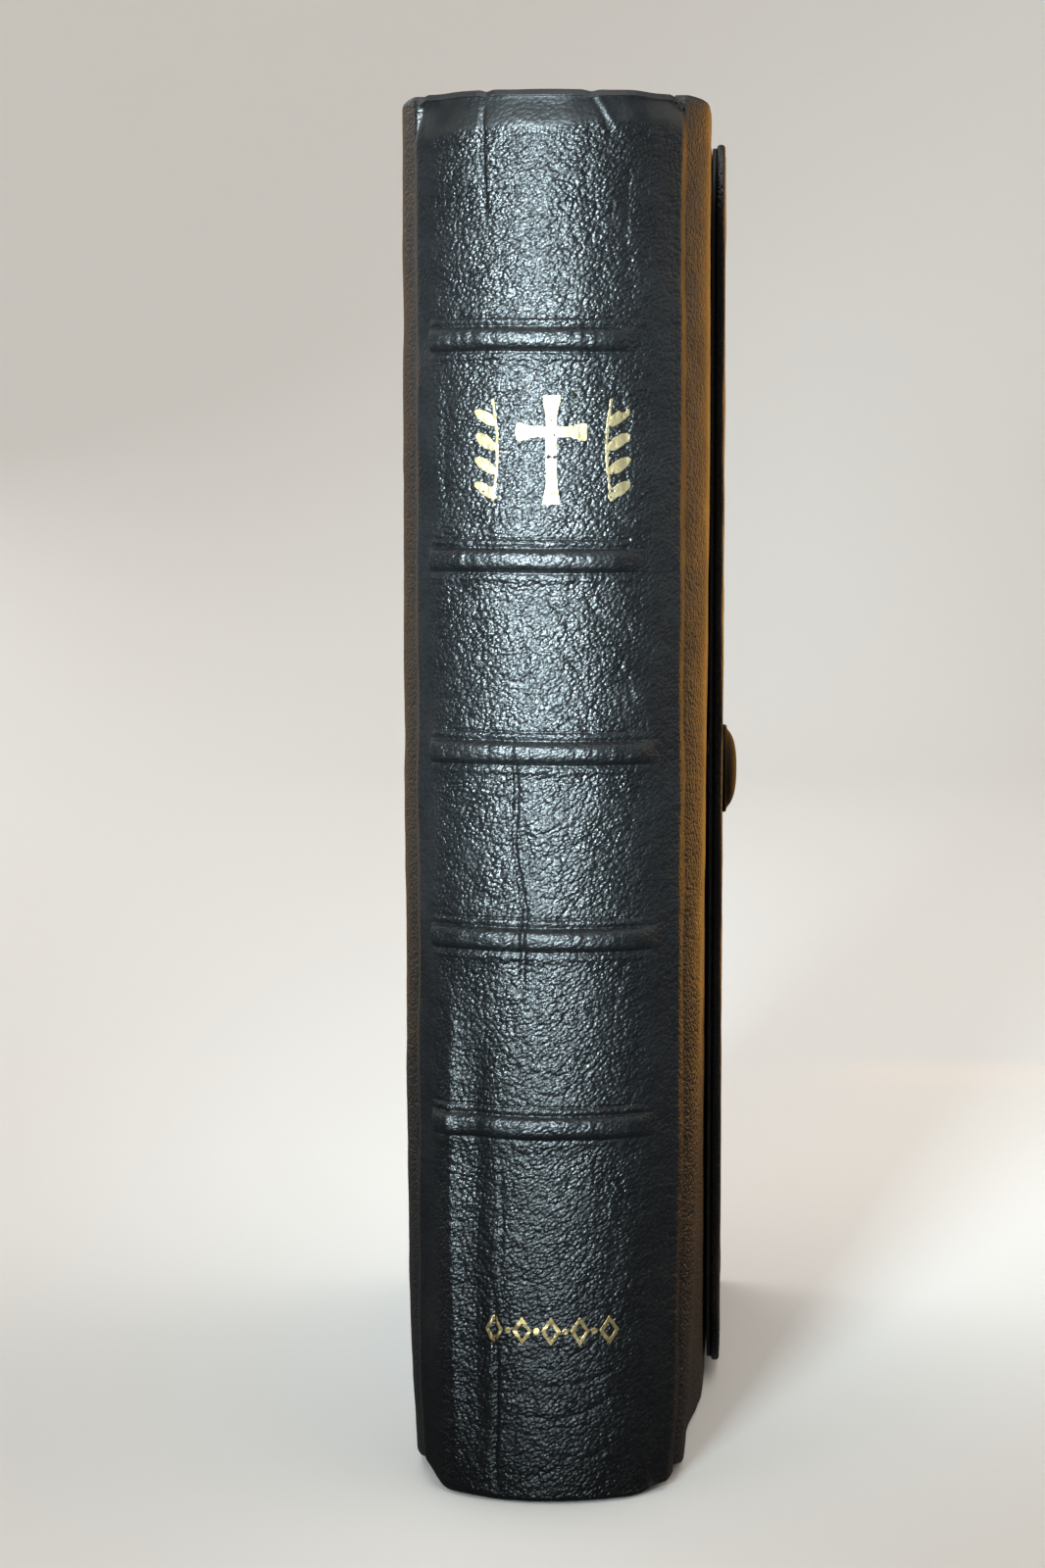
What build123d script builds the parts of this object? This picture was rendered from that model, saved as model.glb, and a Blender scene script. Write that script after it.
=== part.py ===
from build123d import *
from math import asin, cos, degrees, radians, sin, sqrt
import os

# A pocket bible bound in black leather. It has a rounded spine with five raised bands, two stiff
# covers, and a flap on the back cover that wraps the fore-edge and snaps shut on the front cover.
# It stands on its tail edges: +Z is up, the spine faces -Y and the front cover faces +X.
# Sketches use the book's own measures: x across its thickness from the middle of the spine, and
# y into the book from the crest of the spine. All sizes are in millimetres.

# Covers
book_height = 140
book_depth = 96
book_thickness = 30
leather = 0.8
board = 1.8
turn_in = 0.3
pastedown = 0.2
turn_in_width = 8
cover_corner = 6
cover_start = 7.8
shoulder_width = 1.7
shoulder_depth = 7
edge_round = 0.7

# Spine
spine_width = 26
spine_rise = 6
spine_leather = 0.9
spine_end = 7.2
joint_lean = 0.2
stiffener = 0.5
lining = 0.25
tape = 0.25
layer_gap = 0.05
card_half_angle = 46
lining_half_angle = 43
tape_half_angle = 40
cap_turn_in = 1.8

# Raised bands, by the height of their middle above the tail
band_heights = (38.1, 56.9, 75.4, 94.3, 115.8)
band_width = 2.2
band_rise = 1.1
band_half_angle = 42
core_width = 1.2
core_rise = 0.4

# Leaves
square = 2.5
gathering_count = 12
leaf_gap = 0.1
flyleaf = 0.15
fore_edge_hollow = 3.5
tape_count = 4
tape_width = 8
headband_height = 1.4
headband_depth = 1.2

# Flap and press stud
flap_leather = 1.0
flap_lining = 0.5
flap_clearance = 0.3
flap_side_clearance = 0.5
flap_reach = 51
flap_inset = 1
flap_corner = 10
fold_gap = 0.7
snap_height = 69
snap_depth = 57
cap_diameter = 10
cap_rise = 1.6
socket_diameter = 8.4
neck_diameter = 4.6
socket_bore = 3.8
post_diameter = 3.2
post_rise = 1.1
flange_diameter = 8
flange = 0.3
rivet_diameter = 2
rivet_head_diameter = 7
rivet_head = 0.5

# Gilt ornaments
foil = 0.08
ornament_x = 0.6
title_bottom = 99.8
title_height = 10.6
title_width = 15.6
tail_bottom = 16.1
tail_height = 3
tail_width = 14.5

# What follows from those
cover_face = book_thickness / 2
cover_inside = cover_face - leather - board - turn_in
spine_radius = ((spine_width / 2) ** 2 + spine_rise**2) / (2 * spine_rise)
spine_half_angle = degrees(asin(spine_width / 2 / spine_radius))
leather_inside = spine_radius - spine_leather
stiffener_inside = leather_inside - stiffener - layer_gap
lining_inside = stiffener_inside - lining - layer_gap
tape_inside = lining_inside - tape - layer_gap
block_back = tape_inside - layer_gap
block_half = cover_inside - leaf_gap - flyleaf - layer_gap
gathering_pitch = 2 * block_half / gathering_count
fore_edge_depth = book_depth - square - fore_edge_hollow
fore_edge_radius = (block_half**2 + fore_edge_hollow**2) / (2 * fore_edge_hollow)
flap_inside = cover_face + flap_clearance
flap_outside = flap_inside + flap_lining + flap_leather
side_inside = book_depth + flap_side_clearance
side_outside = side_inside + flap_lining + flap_leather

# The origin is at the middle of the foot of the whole object's box.
book_x = -(flap_outside + cap_rise - cover_face) / 2
book_y = -(side_outside - band_rise) / 2
spine_axis = Axis((book_x, book_y + spine_radius, 0), (0, 0, 1))
spine_middle = (0, spine_radius)

os.makedirs("parts", exist_ok=True)


def level(height):
    """The plane across the book at a height, with the book's own x and y."""
    return Plane(origin=(book_x, book_y, height))


def across(x):
    """The plane beside the covers at a distance x, with depth and height in it."""
    return Plane(origin=(book_x + x, book_y, 0), x_dir=(0, 1, 0), z_dir=(1, 0, 0))


def facing(y):
    """The plane parallel to the spine's crest at a depth y, with x and height in it."""
    return Plane(origin=(book_x, book_y + y, 0), x_dir=(1, 0, 0), z_dir=(0, -1, 0))


def radial(angle):
    """The upright plane through the spine's axis, turned by an angle from the spine's crest."""
    turn = radians(angle)
    return Plane(
        origin=(book_x, book_y + spine_radius, 0),
        x_dir=(sin(turn), -cos(turn), 0),
        z_dir=(-cos(turn), -sin(turn), 0),
    )


def save(piece, name):
    """Labels a finished piece and writes it under its own name."""
    piece.part.label = name
    export_step(piece.part, f"parts/{name}.step")


def back_at(x):
    """Depth of the rounded back of the leaves at a distance x from the middle."""
    return spine_radius - sqrt(block_back**2 - x**2)


def fore_edge_at(x):
    """Depth of the hollow fore-edge of the leaves at a distance x from the middle."""
    return fore_edge_depth + fore_edge_radius - sqrt(fore_edge_radius**2 - x**2)


def bent_strips(inner, outer, half_angle, spans):
    """Strips bent round the spine's axis, one for each pair of lower and upper heights."""
    with BuildPart() as strips:
        for low, high in spans:
            with BuildSketch(level(low)):
                with BuildLine():
                    outside = CenterArc(spine_middle, outer, 270 - half_angle, 2 * half_angle)
                    inside = CenterArc(spine_middle, inner, 270 - half_angle, 2 * half_angle)
                    Line(outside @ 0, inside @ 0)
                    Line(outside @ 1, inside @ 1)
                make_face()
            extrude(amount=high - low)
    return strips


# Spine leather: a bent skin that ends in the two joints, thickened where it turns in at head and
# tail, with a ridge over each band and a channel inside the ridge for the band's core.
joint_edge = spine_width / 2 + joint_lean
cap_inside = leather_inside - stiffener
side_arc = spine_half_angle - band_half_angle
spine_stretches = (
    (-band_half_angle, 2 * band_half_angle, band_heights),
    (-spine_half_angle, side_arc, ()),
    (band_half_angle, side_arc, ()),
)


def skin_edge(radius, side):
    """The point at a radius where the bent part of the spine leather meets its joint."""
    turn = radians(spine_half_angle)
    return (side * radius * sin(turn), spine_radius - radius * cos(turn))


with BuildPart() as spine_skin:
    for start, arc, bands in spine_stretches:
        with BuildSketch(radial(start)):
            with Locations((leather_inside, 0)):
                Rectangle(spine_leather, book_height, align=(Align.MIN, Align.MIN))
            for low in (0, book_height - cap_turn_in):
                with Locations((cap_inside, low)):
                    Rectangle(stiffener, cap_turn_in, align=(Align.MIN, Align.MIN))
            for height in bands:
                with Locations((spine_radius, height)):
                    Ellipse(band_rise, band_width / 2)
                with Locations((leather_inside, height)):
                    Rectangle(band_rise, band_width, align=(Align.MAX, Align.CENTER), mode=Mode.SUBTRACT)
                    Rectangle(core_rise, core_width, align=(Align.MIN, Align.CENTER), mode=Mode.SUBTRACT)
        revolve(axis=spine_axis, revolution_arc=arc)
    for side in (-1, 1):
        with BuildSketch(level(0)):
            with BuildLine():
                joint_out = (side * joint_edge, spine_end)
                joint_in = (side * (joint_edge - spine_leather), spine_end)
                skin_out = skin_edge(spine_radius, side)
                skin_in = skin_edge(leather_inside, side)
                Polyline(skin_out, joint_out, joint_in, skin_in, close=True)
            make_face()
        extrude(amount=book_height)
save(spine_skin, "spine_leather")

# Band cores: five bent strips of board, each in its channel.
for number, height in enumerate(band_heights, start=1):
    with BuildPart() as core:
        with BuildSketch(radial(-band_half_angle)):
            with Locations((leather_inside, height)):
                Rectangle(core_rise, core_width, align=(Align.MIN, Align.CENTER))
        revolve(axis=spine_axis, revolution_arc=2 * band_half_angle)
    save(core, f"raised_band_{number}")

# Stiffener card, linen lining and sewing tapes, each a layer nearer the leaves.
card_span = [(cap_turn_in + layer_gap, book_height - cap_turn_in - layer_gap)]
block_low = square
block_high = book_height - square
tape_pitch = (block_high - block_low) / (tape_count + 1)
tape_middles = [block_low + tape_pitch * (number + 1) for number in range(tape_count)]
tape_spans = [(middle - tape_width / 2, middle + tape_width / 2) for middle in tape_middles]
lining_margin = 4
card_outside = leather_inside - layer_gap
card = bent_strips(card_outside - stiffener, card_outside, card_half_angle, card_span)
save(card, "spine_stiffener")
lining_span = [(block_low + lining_margin, block_high - lining_margin)]
mull = bent_strips(lining_inside, lining_inside + lining, lining_half_angle, lining_span)
save(mull, "spine_lining")
tapes = bent_strips(tape_inside, tape_inside + tape, tape_half_angle, tape_spans)
save(tapes, "sewing_tapes")

# Headband and tailband: cords that lie across the ends of the leaves behind the caps.
headband_half_angle = 36
band_low = block_high + layer_gap
for name, low in (("headband", band_low), ("tailband", book_height - band_low - headband_height)):
    band = bent_strips(
        block_back - headband_depth, block_back, headband_half_angle, [(low, low + headband_height)]
    )
    save(band, name)

# Gatherings: folded sections of leaves, numbered from the front cover to the back one. Each has a
# flat back inside the rounded spine, and its fore-edge follows the hollow of the fore-edge.
for number in range(1, gathering_count + 1):
    side = 1 if number <= gathering_count / 2 else -1
    place = min(number, gathering_count + 1 - number)
    outer_x = block_half - (place - 1) * gathering_pitch
    inner_x = outer_x - gathering_pitch + leaf_gap
    middle_x = (outer_x + inner_x) / 2
    back = back_at(outer_x)
    with BuildPart() as gathering:
        with BuildSketch(level(block_low)):
            with BuildLine():
                outer_end = (side * outer_x, fore_edge_at(outer_x))
                inner_end = (side * inner_x, fore_edge_at(inner_x))
                Polyline(outer_end, (side * outer_x, back), (side * inner_x, back), inner_end)
                ThreePointArc(outer_end, (side * middle_x, fore_edge_at(middle_x)), inner_end)
            make_face()
        extrude(amount=block_high - block_low)
    save(gathering, f"gathering_{number:02d}")

# Flyleaves: single leaves between the outer gatherings and the covers.
for name, side in (("front_flyleaf", 1), ("back_flyleaf", -1)):
    leaf_x = side * (cover_inside - leaf_gap)
    leaf_back = back_at(block_half)
    leaf_edge = fore_edge_at(block_half)
    with BuildPart() as leaf:
        with BuildSketch(across(leaf_x)):
            with Locations((leaf_back, block_low)):
                Rectangle(leaf_edge - leaf_back, block_high - block_low, align=(Align.MIN, Align.MIN))
        extrude(amount=-side * flyleaf)
    save(leaf, name)

# Covers: a leather skin folded round a board and turned in over its inside, with a pastedown in
# the window that the turn-ins leave. The front one also carries the post of the press stud.
cover_depth = book_depth - cover_start
pocket_depth = cover_depth - 2 * leather
pocket_height = book_height - 2 * leather
window_back = cover_start + leather + 1
window_depth = book_depth - turn_in_width - window_back
window_height = book_height - 2 * turn_in_width
snap_spot = (snap_depth, snap_height)
board_slope = shoulder_width - 0.3
board_slope_depth = shoulder_depth - 1


def cover_section(side, inner, outer, start, width, depth):
    """A cover's cross-section from one distance from the middle to another, with its outer back
    edge rounded off by an arc that runs into the outer face, and its outer fore-edge rounded."""
    radius = (width**2 + depth**2) / (2 * width)
    half_turn = asin(depth / radius) / 2
    shoulder_top = (side * outer, start + depth)
    shoulder_foot = (side * (outer - width), start)
    shoulder_middle = (
        side * (outer - radius * (1 - cos(half_turn))),
        start + depth - radius * sin(half_turn),
    )
    with BuildSketch(level(0)) as section:
        with BuildLine():
            Polyline(
                shoulder_foot,
                (side * inner, start),
                (side * inner, book_depth),
                (side * outer, book_depth),
                shoulder_top,
            )
            ThreePointArc(shoulder_top, shoulder_middle, shoulder_foot)
        make_face()
        fillet(section.vertices().sort_by_distance((side * outer, book_depth, 0))[0], edge_round)
    return section.sketch


for name, side in (("front", 1), ("back", -1)):
    board_inside = cover_inside + turn_in
    board_outside = board_inside + board
    with BuildPart() as stiff_board:
        with BuildSketch(across(side * board_inside)) as face:
            with Locations((cover_start + leather, leather)):
                Rectangle(pocket_depth, pocket_height, align=(Align.MIN, Align.MIN))
            fillet(face.vertices().group_by(Axis.X)[-1], cover_corner - leather)
        extrude(amount=side * board)
        board_start = cover_start + leather
        section = cover_section(
            side, board_inside, board_outside, board_start, board_slope, board_slope_depth
        )
        extrude(section, amount=book_height, mode=Mode.INTERSECT)
    blank = stiff_board.part

    with BuildPart() as skin:
        with BuildSketch(across(side * cover_inside)) as outline:
            with Locations((cover_start, 0)):
                Rectangle(cover_depth, book_height, align=(Align.MIN, Align.MIN))
            fillet(outline.vertices().group_by(Axis.X)[-1], cover_corner)
        extrude(amount=side * (cover_face - cover_inside))
        section = cover_section(
            side, cover_inside, cover_face, cover_start, shoulder_width, shoulder_depth
        )
        extrude(section, amount=book_height, mode=Mode.INTERSECT)
        add(blank, mode=Mode.SUBTRACT)
        with BuildSketch(across(side * cover_inside)):
            with Locations((window_back, turn_in_width)):
                Rectangle(window_depth, window_height, align=(Align.MIN, Align.MIN))
        extrude(amount=side * turn_in, mode=Mode.SUBTRACT)
        if side > 0:
            with BuildSketch(across(cover_face)):
                with Locations(snap_spot):
                    Circle(flange_diameter / 2)
            extrude(amount=-flange, mode=Mode.SUBTRACT)
            with BuildSketch(across(cover_face)):
                with Locations(snap_spot):
                    Circle(rivet_diameter / 2)
            extrude(amount=-leather, mode=Mode.SUBTRACT)
    save(skin, f"{name}_cover_leather")

    with BuildPart() as bored_board:
        add(blank)
        if side > 0:
            with BuildSketch(across(board_inside)):
                with Locations(snap_spot):
                    Circle(rivet_head_diameter / 2)
            extrude(amount=rivet_head, mode=Mode.SUBTRACT)
            with BuildSketch(across(board_inside)):
                with Locations(snap_spot):
                    Circle(rivet_diameter / 2)
            extrude(amount=board, mode=Mode.SUBTRACT)
    save(bored_board, f"{name}_board")

    with BuildPart() as paper:
        with BuildSketch(across(side * (cover_inside + turn_in))):
            with Locations((window_back, turn_in_width)):
                Rectangle(window_depth, window_height, align=(Align.MIN, Align.MIN))
        extrude(amount=-side * pastedown)
    save(paper, f"{name}_pastedown")

# Press stud: a post with its rivet through the front cover, and a socket under a domed cap through
# the flap. The socket closes over the post with the flap.
with BuildPart() as post:
    with BuildSketch(across(cover_face - flange)):
        with Locations(snap_spot):
            Circle(flange_diameter / 2)
    extrude(amount=flange)
    with BuildSketch(across(cover_face)):
        with Locations(snap_spot):
            Circle(post_diameter / 2)
    extrude(amount=post_rise)
    fillet(post.edges().group_by(Axis.X)[-1], post_diameter / 8)
save(post, "snap_post")

with BuildPart() as rivet:
    with BuildSketch(across(cover_inside + turn_in)):
        with Locations(snap_spot):
            Circle(rivet_head_diameter / 2)
    extrude(amount=rivet_head)
    with BuildSketch(across(cover_inside + turn_in + rivet_head)):
        with Locations(snap_spot):
            Circle(rivet_diameter / 2)
    extrude(amount=board + leather - rivet_head - flange)
save(rivet, "snap_post_rivet")

socket_inside = cover_face + flap_clearance / 3
with BuildPart() as socket:
    with BuildSketch(across(socket_inside)):
        with Locations(snap_spot):
            Circle(socket_diameter / 2)
    extrude(amount=flap_inside + flap_lining - socket_inside)
    with BuildSketch(across(flap_inside + flap_lining)):
        with Locations(snap_spot):
            Circle(neck_diameter / 2)
    extrude(amount=flap_leather)
    with BuildSketch(across(socket_inside)):
        with Locations(snap_spot):
            Circle(socket_bore / 2)
    extrude(amount=post_rise + flap_clearance, mode=Mode.SUBTRACT)
save(socket, "snap_socket")

cap_rim = 0.4
with BuildPart() as cap:
    with BuildSketch(across(flap_outside)):
        with Locations(snap_spot):
            Circle(cap_diameter / 2)
    extrude(amount=cap_rise)
    fillet(cap.edges().group_by(Axis.X)[-1], cap_rise - cap_rim)
save(cap, "snap_cap")

# Flap: a side panel over the fore-edge and a front panel on the front cover, each of leather with
# a lining, with gaps at the two folds. The front panel's free corners are rounded.
flap_height = book_height - 2 * flap_inset
flap_edge = book_depth - flap_reach
front_top = book_depth + flap_side_clearance + flap_lining - fold_gap / 2
side_near = -cover_face + fold_gap
side_far = cover_face
front_layers = (
    ("lining", flap_inside, flap_lining, socket_diameter),
    ("leather", flap_inside + flap_lining, flap_leather, neck_diameter),
)
side_layers = (
    ("lining", side_inside, flap_lining),
    ("leather", side_inside + flap_lining, flap_leather),
)
for layer, inner, thickness, hole in front_layers:
    with BuildPart() as panel:
        with BuildSketch(across(inner)) as outline:
            with Locations((flap_edge, flap_inset)):
                Rectangle(front_top - flap_edge, flap_height, align=(Align.MIN, Align.MIN))
            fillet(outline.vertices().group_by(Axis.X)[0], flap_corner)
            with Locations(snap_spot):
                Circle(hole / 2, mode=Mode.SUBTRACT)
        extrude(amount=thickness)
    save(panel, f"flap_front_{layer}")

for layer, inner, thickness in side_layers:
    with BuildPart() as panel:
        with BuildSketch(level(flap_inset)):
            with Locations((side_near, inner)):
                Rectangle(side_far - side_near, thickness, align=(Align.MIN, Align.MIN))
        extrude(amount=flap_height)
    save(panel, f"flap_side_{layer}")

# Gilt ornaments: foil that lies on the bent leather, cut from a bent sheet by a flat pattern. The
# upper one is a cross between two leaf sprigs, and the lower one is a row of lozenges and dots.
foil_back = 4
foil_half_angle = 30


def foil_sheet(low, high):
    """A bent sheet of foil on the spine leather between two heights."""
    return bent_strips(spine_radius, spine_radius + foil, foil_half_angle, [(low, high)])


title_middle = title_bottom + title_height / 2
bar = 1.1
leaf_length = 2.6
leaf_width = 1.1
leaf_steps = 4
leaf_pitch = title_height / (leaf_steps + 0.5)
title_sheet = foil_sheet(title_bottom - 1, title_bottom + title_height + 1)
with BuildPart() as title:
    add(title_sheet.part)
    with BuildSketch(facing(foil_back)):
        with Locations((ornament_x, title_middle)):
            Rectangle(bar, title_height)
        with Locations((ornament_x, title_middle + title_height / 6)):
            Rectangle(title_height * 0.6, bar)
        for side in (-1, 1):
            for step in range(leaf_steps):
                leaf_x = ornament_x + side * (title_width - leaf_length) / 2
                leaf_z = title_bottom + leaf_pitch * (step + 0.6)
                with Locations(Location((leaf_x, leaf_z, 0), (0, 0, side * 35))):
                    Ellipse(leaf_length / 2, leaf_width / 2)
    extrude(amount=foil_back + 1, mode=Mode.INTERSECT)
save(title, "title_ornament")

tail_middle = tail_bottom + tail_height / 2
lozenges = 5
lozenge_pitch = tail_width / lozenges
lozenge_side = tail_height / sqrt(2)
dot = 0.45
tail_sheet = foil_sheet(tail_bottom - 1, tail_bottom + tail_height + 1)
with BuildPart() as tail:
    add(tail_sheet.part)
    with BuildSketch(facing(foil_back)):
        with Locations((ornament_x, tail_middle)):
            with GridLocations(lozenge_pitch, 1, lozenges, 1):
                Rectangle(lozenge_side, lozenge_side, rotation=45)
            with GridLocations(lozenge_pitch, 1, lozenges - 1, 1):
                Circle(dot)
    extrude(amount=foil_back + 1, mode=Mode.INTERSECT)
save(tail, "tail_ornament")
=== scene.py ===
from math import cos, pi, radians, sin

import bpy
import numpy as np
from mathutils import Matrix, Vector


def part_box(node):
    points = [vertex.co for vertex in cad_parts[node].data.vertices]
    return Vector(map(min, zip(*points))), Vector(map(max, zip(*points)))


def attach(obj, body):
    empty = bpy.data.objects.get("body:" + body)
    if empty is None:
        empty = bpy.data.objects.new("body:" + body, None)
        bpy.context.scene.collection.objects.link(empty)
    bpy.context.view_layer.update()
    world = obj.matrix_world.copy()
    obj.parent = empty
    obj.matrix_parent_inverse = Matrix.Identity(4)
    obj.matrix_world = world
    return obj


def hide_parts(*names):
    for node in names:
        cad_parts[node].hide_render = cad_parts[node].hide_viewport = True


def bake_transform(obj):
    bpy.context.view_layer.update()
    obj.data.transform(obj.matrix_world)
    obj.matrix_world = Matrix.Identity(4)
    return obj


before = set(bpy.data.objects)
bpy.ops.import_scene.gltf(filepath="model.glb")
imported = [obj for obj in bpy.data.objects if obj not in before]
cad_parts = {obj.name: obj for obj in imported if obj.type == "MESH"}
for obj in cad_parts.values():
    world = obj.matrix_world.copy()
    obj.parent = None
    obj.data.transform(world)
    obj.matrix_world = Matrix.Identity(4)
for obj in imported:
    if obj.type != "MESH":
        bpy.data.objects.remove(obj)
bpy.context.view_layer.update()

# The book's own measures, in millimetres: x across its thickness from the middle of the spine
# (the front cover is on +x), y into the book from the crest of the spine, z up from the tail.
MM = 0.001
BAND_RISE = 1.1
spine_low, spine_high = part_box("spine_leather")
BOOK_X = (spine_low[0] + spine_high[0]) / 2
BOOK_Y = spine_low[1] + BAND_RISE * MM


def local_box(name):
    """A CAD node's lowest and highest corners in the book's own measures."""
    low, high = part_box(name)
    shift = (BOOK_X, BOOK_Y, 0)
    return [tuple((c[k] - shift[k]) / MM for k in range(3)) for c in (low, high)]


HEIGHT = local_box("spine_leather")[1][2]
BANDS = [sum(c[2] for c in local_box(f"raised_band_{n}")) / 2 for n in range(1, 6)]


def at(x, y, z):
    """A point in the row frame, in metres."""
    return (BOOK_X + x * MM, BOOK_Y + y * MM, z * MM)


def place_object(name, data):
    made = bpy.data.objects.new(name, data)
    bpy.context.collection.objects.link(made)
    return made


# ---------------------------------------------------------------- camera
CAMERA_DOWN, CAMERA_TURN = 5.41, 3.94      # degrees below level, and turned toward -x


def make_camera():
    data = bpy.data.cameras.new("camera")
    data.lens = 50
    data.sensor_width = 22.3
    data.clip_start = 0.01
    camera = place_object("camera", data)
    camera.location = at(21.4, -343, 105)
    camera.rotation_euler = (radians(90 - CAMERA_DOWN), 0, radians(CAMERA_TURN))
    bpy.context.scene.camera = camera


make_camera()


# ---------------------------------------------------------------- noise
TABLE = 32      # the noise repeats after this many cells


def ease(value, low, high):
    """0 below low, 1 above high, smooth between."""
    t = np.clip((value - low) / (high - low), 0, 1)
    return t * t * (3 - 2 * t)


def hump(value, middle, width):
    """1 at middle, dying out over width on both sides."""
    return np.exp(-(((value - middle) / width) ** 2))


def spread(a, b, c=0):
    """Points in a plane from two of their measures, to look noise up at."""
    return np.stack([a, b, 0 * a + c], -1)


def wave(points, size, seed):
    """Smooth noise from -1 to 1 over points in millimetres."""
    table = np.random.RandomState(seed).uniform(-1, 1, (TABLE,) * 3)
    scaled = np.asarray(points, float) / size
    cell = np.floor(scaled).astype(int)
    t = scaled - cell
    t = t * t * (3 - 2 * t)
    total = 0
    for dx in (0, 1):
        for dy in (0, 1):
            for dz in (0, 1):
                corner = table[tuple(np.moveaxis((cell + (dx, dy, dz)) % TABLE, -1, 0))]
                share = 1
                for axis, d in enumerate((dx, dy, dz)):
                    share = share * (t[..., axis] if d else 1 - t[..., axis])
                total = total + corner * share
    return total


def pebbles(points, size, seed):
    """Rounded pebbles parted by fine creases, from 0 in a crease to 1 on top."""
    table = np.random.RandomState(seed).uniform(0, 1, (TABLE,) * 3 + (3,))
    scaled = np.asarray(points, float) / size
    cell = np.floor(scaled).astype(int)
    first = np.full(scaled.shape[:-1], 9.0)
    second = np.full(scaled.shape[:-1], 9.0)
    for dx in (-1, 0, 1):
        for dy in (-1, 0, 1):
            for dz in (-1, 0, 1):
                other = cell + (dx, dy, dz)
                spot = table[tuple(np.moveaxis(other % TABLE, -1, 0))]
                d = np.linalg.norm(other + spot - scaled, axis=-1)
                second = np.minimum(second, np.maximum(first, d))
                first = np.minimum(first, d)
    rounded = np.clip((second - first) / 0.75, 0, 1)
    return rounded * (2 - rounded)


# ---------------------------------------------------------------- materials
def new_material(name):
    material = bpy.data.materials.new(name)
    material.use_nodes = True
    return material, material.node_tree, material.node_tree.nodes["Principled BSDF"]


def assign(tree, socket, value):
    if isinstance(value, bpy.types.NodeSocket):
        tree.links.new(value, socket)
    else:
        socket.default_value = value


def plug(tree, made, settings):
    """Gives a node's inputs their values or links, and sets its other properties."""
    for key, value in settings.items():
        if key in made.inputs:
            assign(tree, made.inputs[key], value)
        else:
            setattr(made, key, value)
    return made


def node(tree, kind, **settings):
    return plug(tree, tree.nodes.new(kind), settings)


def ramp(tree, source, stops):
    """A ramp of greys over a value; stops are (place, grey)."""
    made = node(tree, "ShaderNodeValToRGB", Fac=source)
    elements = made.color_ramp.elements
    while len(elements) < len(stops):
        elements.new(0.5)
    for element, (place, value) in zip(elements, stops):
        element.position = place
        element.color = (value, value, value, 1)
    return made.outputs[0]


def sums(tree, operation, a, b):
    """A math node over two sockets or numbers."""
    made = node(tree, "ShaderNodeMath", operation=operation)
    for socket, value in zip(made.inputs, (a, b)):
        assign(tree, socket, value)
    return made.outputs[0]


def mixed(tree, factor, a, b):
    """Colour a at factor 0 and b at factor 1; each is a socket or a colour."""
    made = node(tree, "ShaderNodeMix", data_type="RGBA")
    for index, value in ((0, factor), (6, a), (7, b)):
        assign(tree, made.inputs[index], (*value, 1) if isinstance(value, tuple) else value)
    return made.outputs[2]


def object_place(tree):
    return node(tree, "ShaderNodeTexCoord").outputs["Object"]


def noise(tree, place, scale, detail=2.0, roughness=0.5):
    return node(tree, "ShaderNodeTexNoise", Vector=place, Scale=scale, Detail=detail,
                Roughness=roughness).outputs["Fac"]


def voronoi(tree, place, scale, feature="DISTANCE_TO_EDGE"):
    return node(tree, "ShaderNodeTexVoronoi", feature=feature, Vector=place,
                Scale=scale).outputs["Distance"]


def bump(tree, height, distance, strength):
    return node(tree, "ShaderNodeBump", Height=height, Distance=distance,
                Strength=strength).outputs["Normal"]


PEBBLES = 1300      # leather pebbles to a metre
WORN = (0.020, 0.017, 0.014)


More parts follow.
